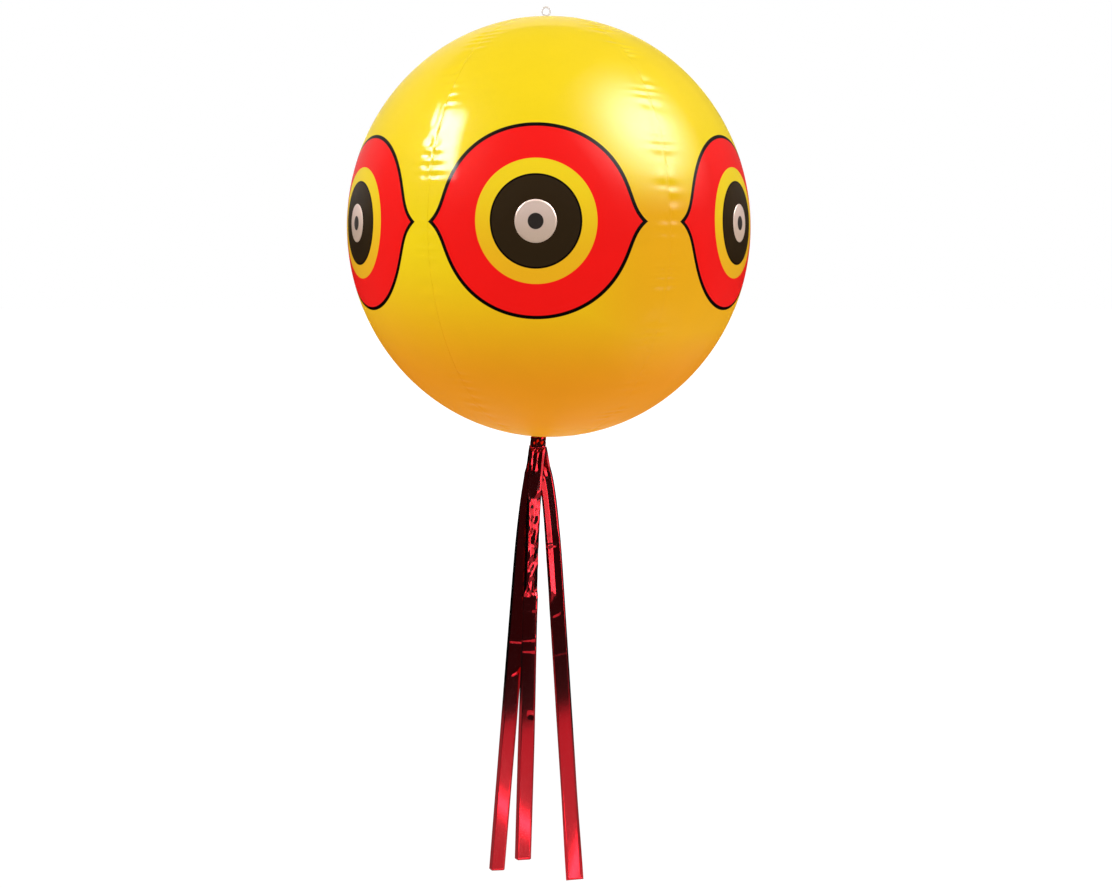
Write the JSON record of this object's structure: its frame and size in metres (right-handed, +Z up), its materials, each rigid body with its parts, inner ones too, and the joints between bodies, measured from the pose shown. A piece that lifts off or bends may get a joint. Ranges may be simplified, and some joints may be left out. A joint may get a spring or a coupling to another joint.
{
  "type": "bird scare balloon",
  "caption": "Inflated film ball printed with predator eyes, hung by a clear loop, with metallised streamers tied under it, to keep birds off fruit and crops.",
  "frame": {"origin": "middle of the hole in the hanging loop, on top of the ball", "axes": "+Z up along the hanging line, -Y towards the viewer of the picture, +X to the viewer's right"},
  "size_m": [0.4, 0.4008, 0.9801],
  "materials": {
    "yellow_film": "glossy pearl yellow vinyl film with printed eyes",
    "silver_foil": "metallised silver film with a printed black dot",
    "clear_vinyl": "clear moulded vinyl",
    "plug_vinyl": "milky moulded vinyl",
    "red_foil": "mirror bright metallised red film"
  },
  "bodies": {
    "balloon": {"gore_front": "yellow_film", "gore_front_right": "yellow_film", "gore_back_right": "yellow_film", "gore_back": "yellow_film", "gore_back_left": "yellow_film", "gore_front_left": "yellow_film", "pupil_front": "silver_foil", "pupil_front_right": "silver_foil", "pupil_back_right": "silver_foil", "pupil_back": "silver_foil", "pupil_back_left": "silver_foil", "pupil_front_left": "silver_foil", "polar_patch_top": "yellow_film", "polar_patch_bottom": "yellow_film", "hanging_loop": "clear_vinyl", "streamer_loop": "clear_vinyl", "valve_flange": "clear_vinyl"},
    "valve": {"valve_stem": "clear_vinyl", "plug_strap": "clear_vinyl"},
    "plug": {"valve_plug": "plug_vinyl"},
    "flap": {"valve_flap": "clear_vinyl"},
    "knot": {"streamer_knot": "red_foil"},
    "left_streamer": {"streamer_left": "red_foil"},
    "middle_streamer": {"streamer_middle": "red_foil"},
    "right_streamer": {"streamer_right": "red_foil"}
  },
  "joints": [
    {"name": "valve_push", "type": "slide", "parent": "balloon", "child": "valve", "axis": [0, 0.4742, -0.8804], "range_m": [0, 0.0115]},
    {"name": "plug_pull", "type": "slide", "parent": "valve", "child": "plug", "axis": [0, 0.4742, -0.8804], "range_m": [0, 0.009], "deforming": ["plug_strap"]},
    {"name": "flap_open", "type": "hinge", "parent": "valve", "child": "flap", "pos_m": [0.00251, 0.09045, -0.37585], "axis": [-1, 0, 0], "range_deg": [0, 55], "stiffness_Nm_per_rad": 0.000005},
    {"name": "streamer_swing", "type": "hinge", "parent": "balloon", "child": "knot", "pos_m": [-0.01004, 0, -0.4266], "axis": [1, 0, 0], "range_deg": [-80, 80]},
    {"name": "left_fan", "type": "hinge", "parent": "knot", "child": "left_streamer", "pos_m": [-0.01004, 0, -0.4266], "axis": [0, 1, 0], "range_deg": [-30, 30], "stiffness_Nm_per_rad": 0.004, "springref_deg": 10.86},
    {"name": "middle_fan", "type": "hinge", "parent": "knot", "child": "middle_streamer", "pos_m": [-0.01004, 0, -0.4266], "axis": [0, 1, 0], "range_deg": [-30, 30], "stiffness_Nm_per_rad": 0.004, "springref_deg": 3.75},
    {"name": "right_fan", "type": "hinge", "parent": "knot", "child": "right_streamer", "pos_m": [-0.01004, 0, -0.4266], "axis": [0, 1, 0], "range_deg": [-30, 30], "stiffness_Nm_per_rad": 0.004, "springref_deg": -8.92}
  ]
}
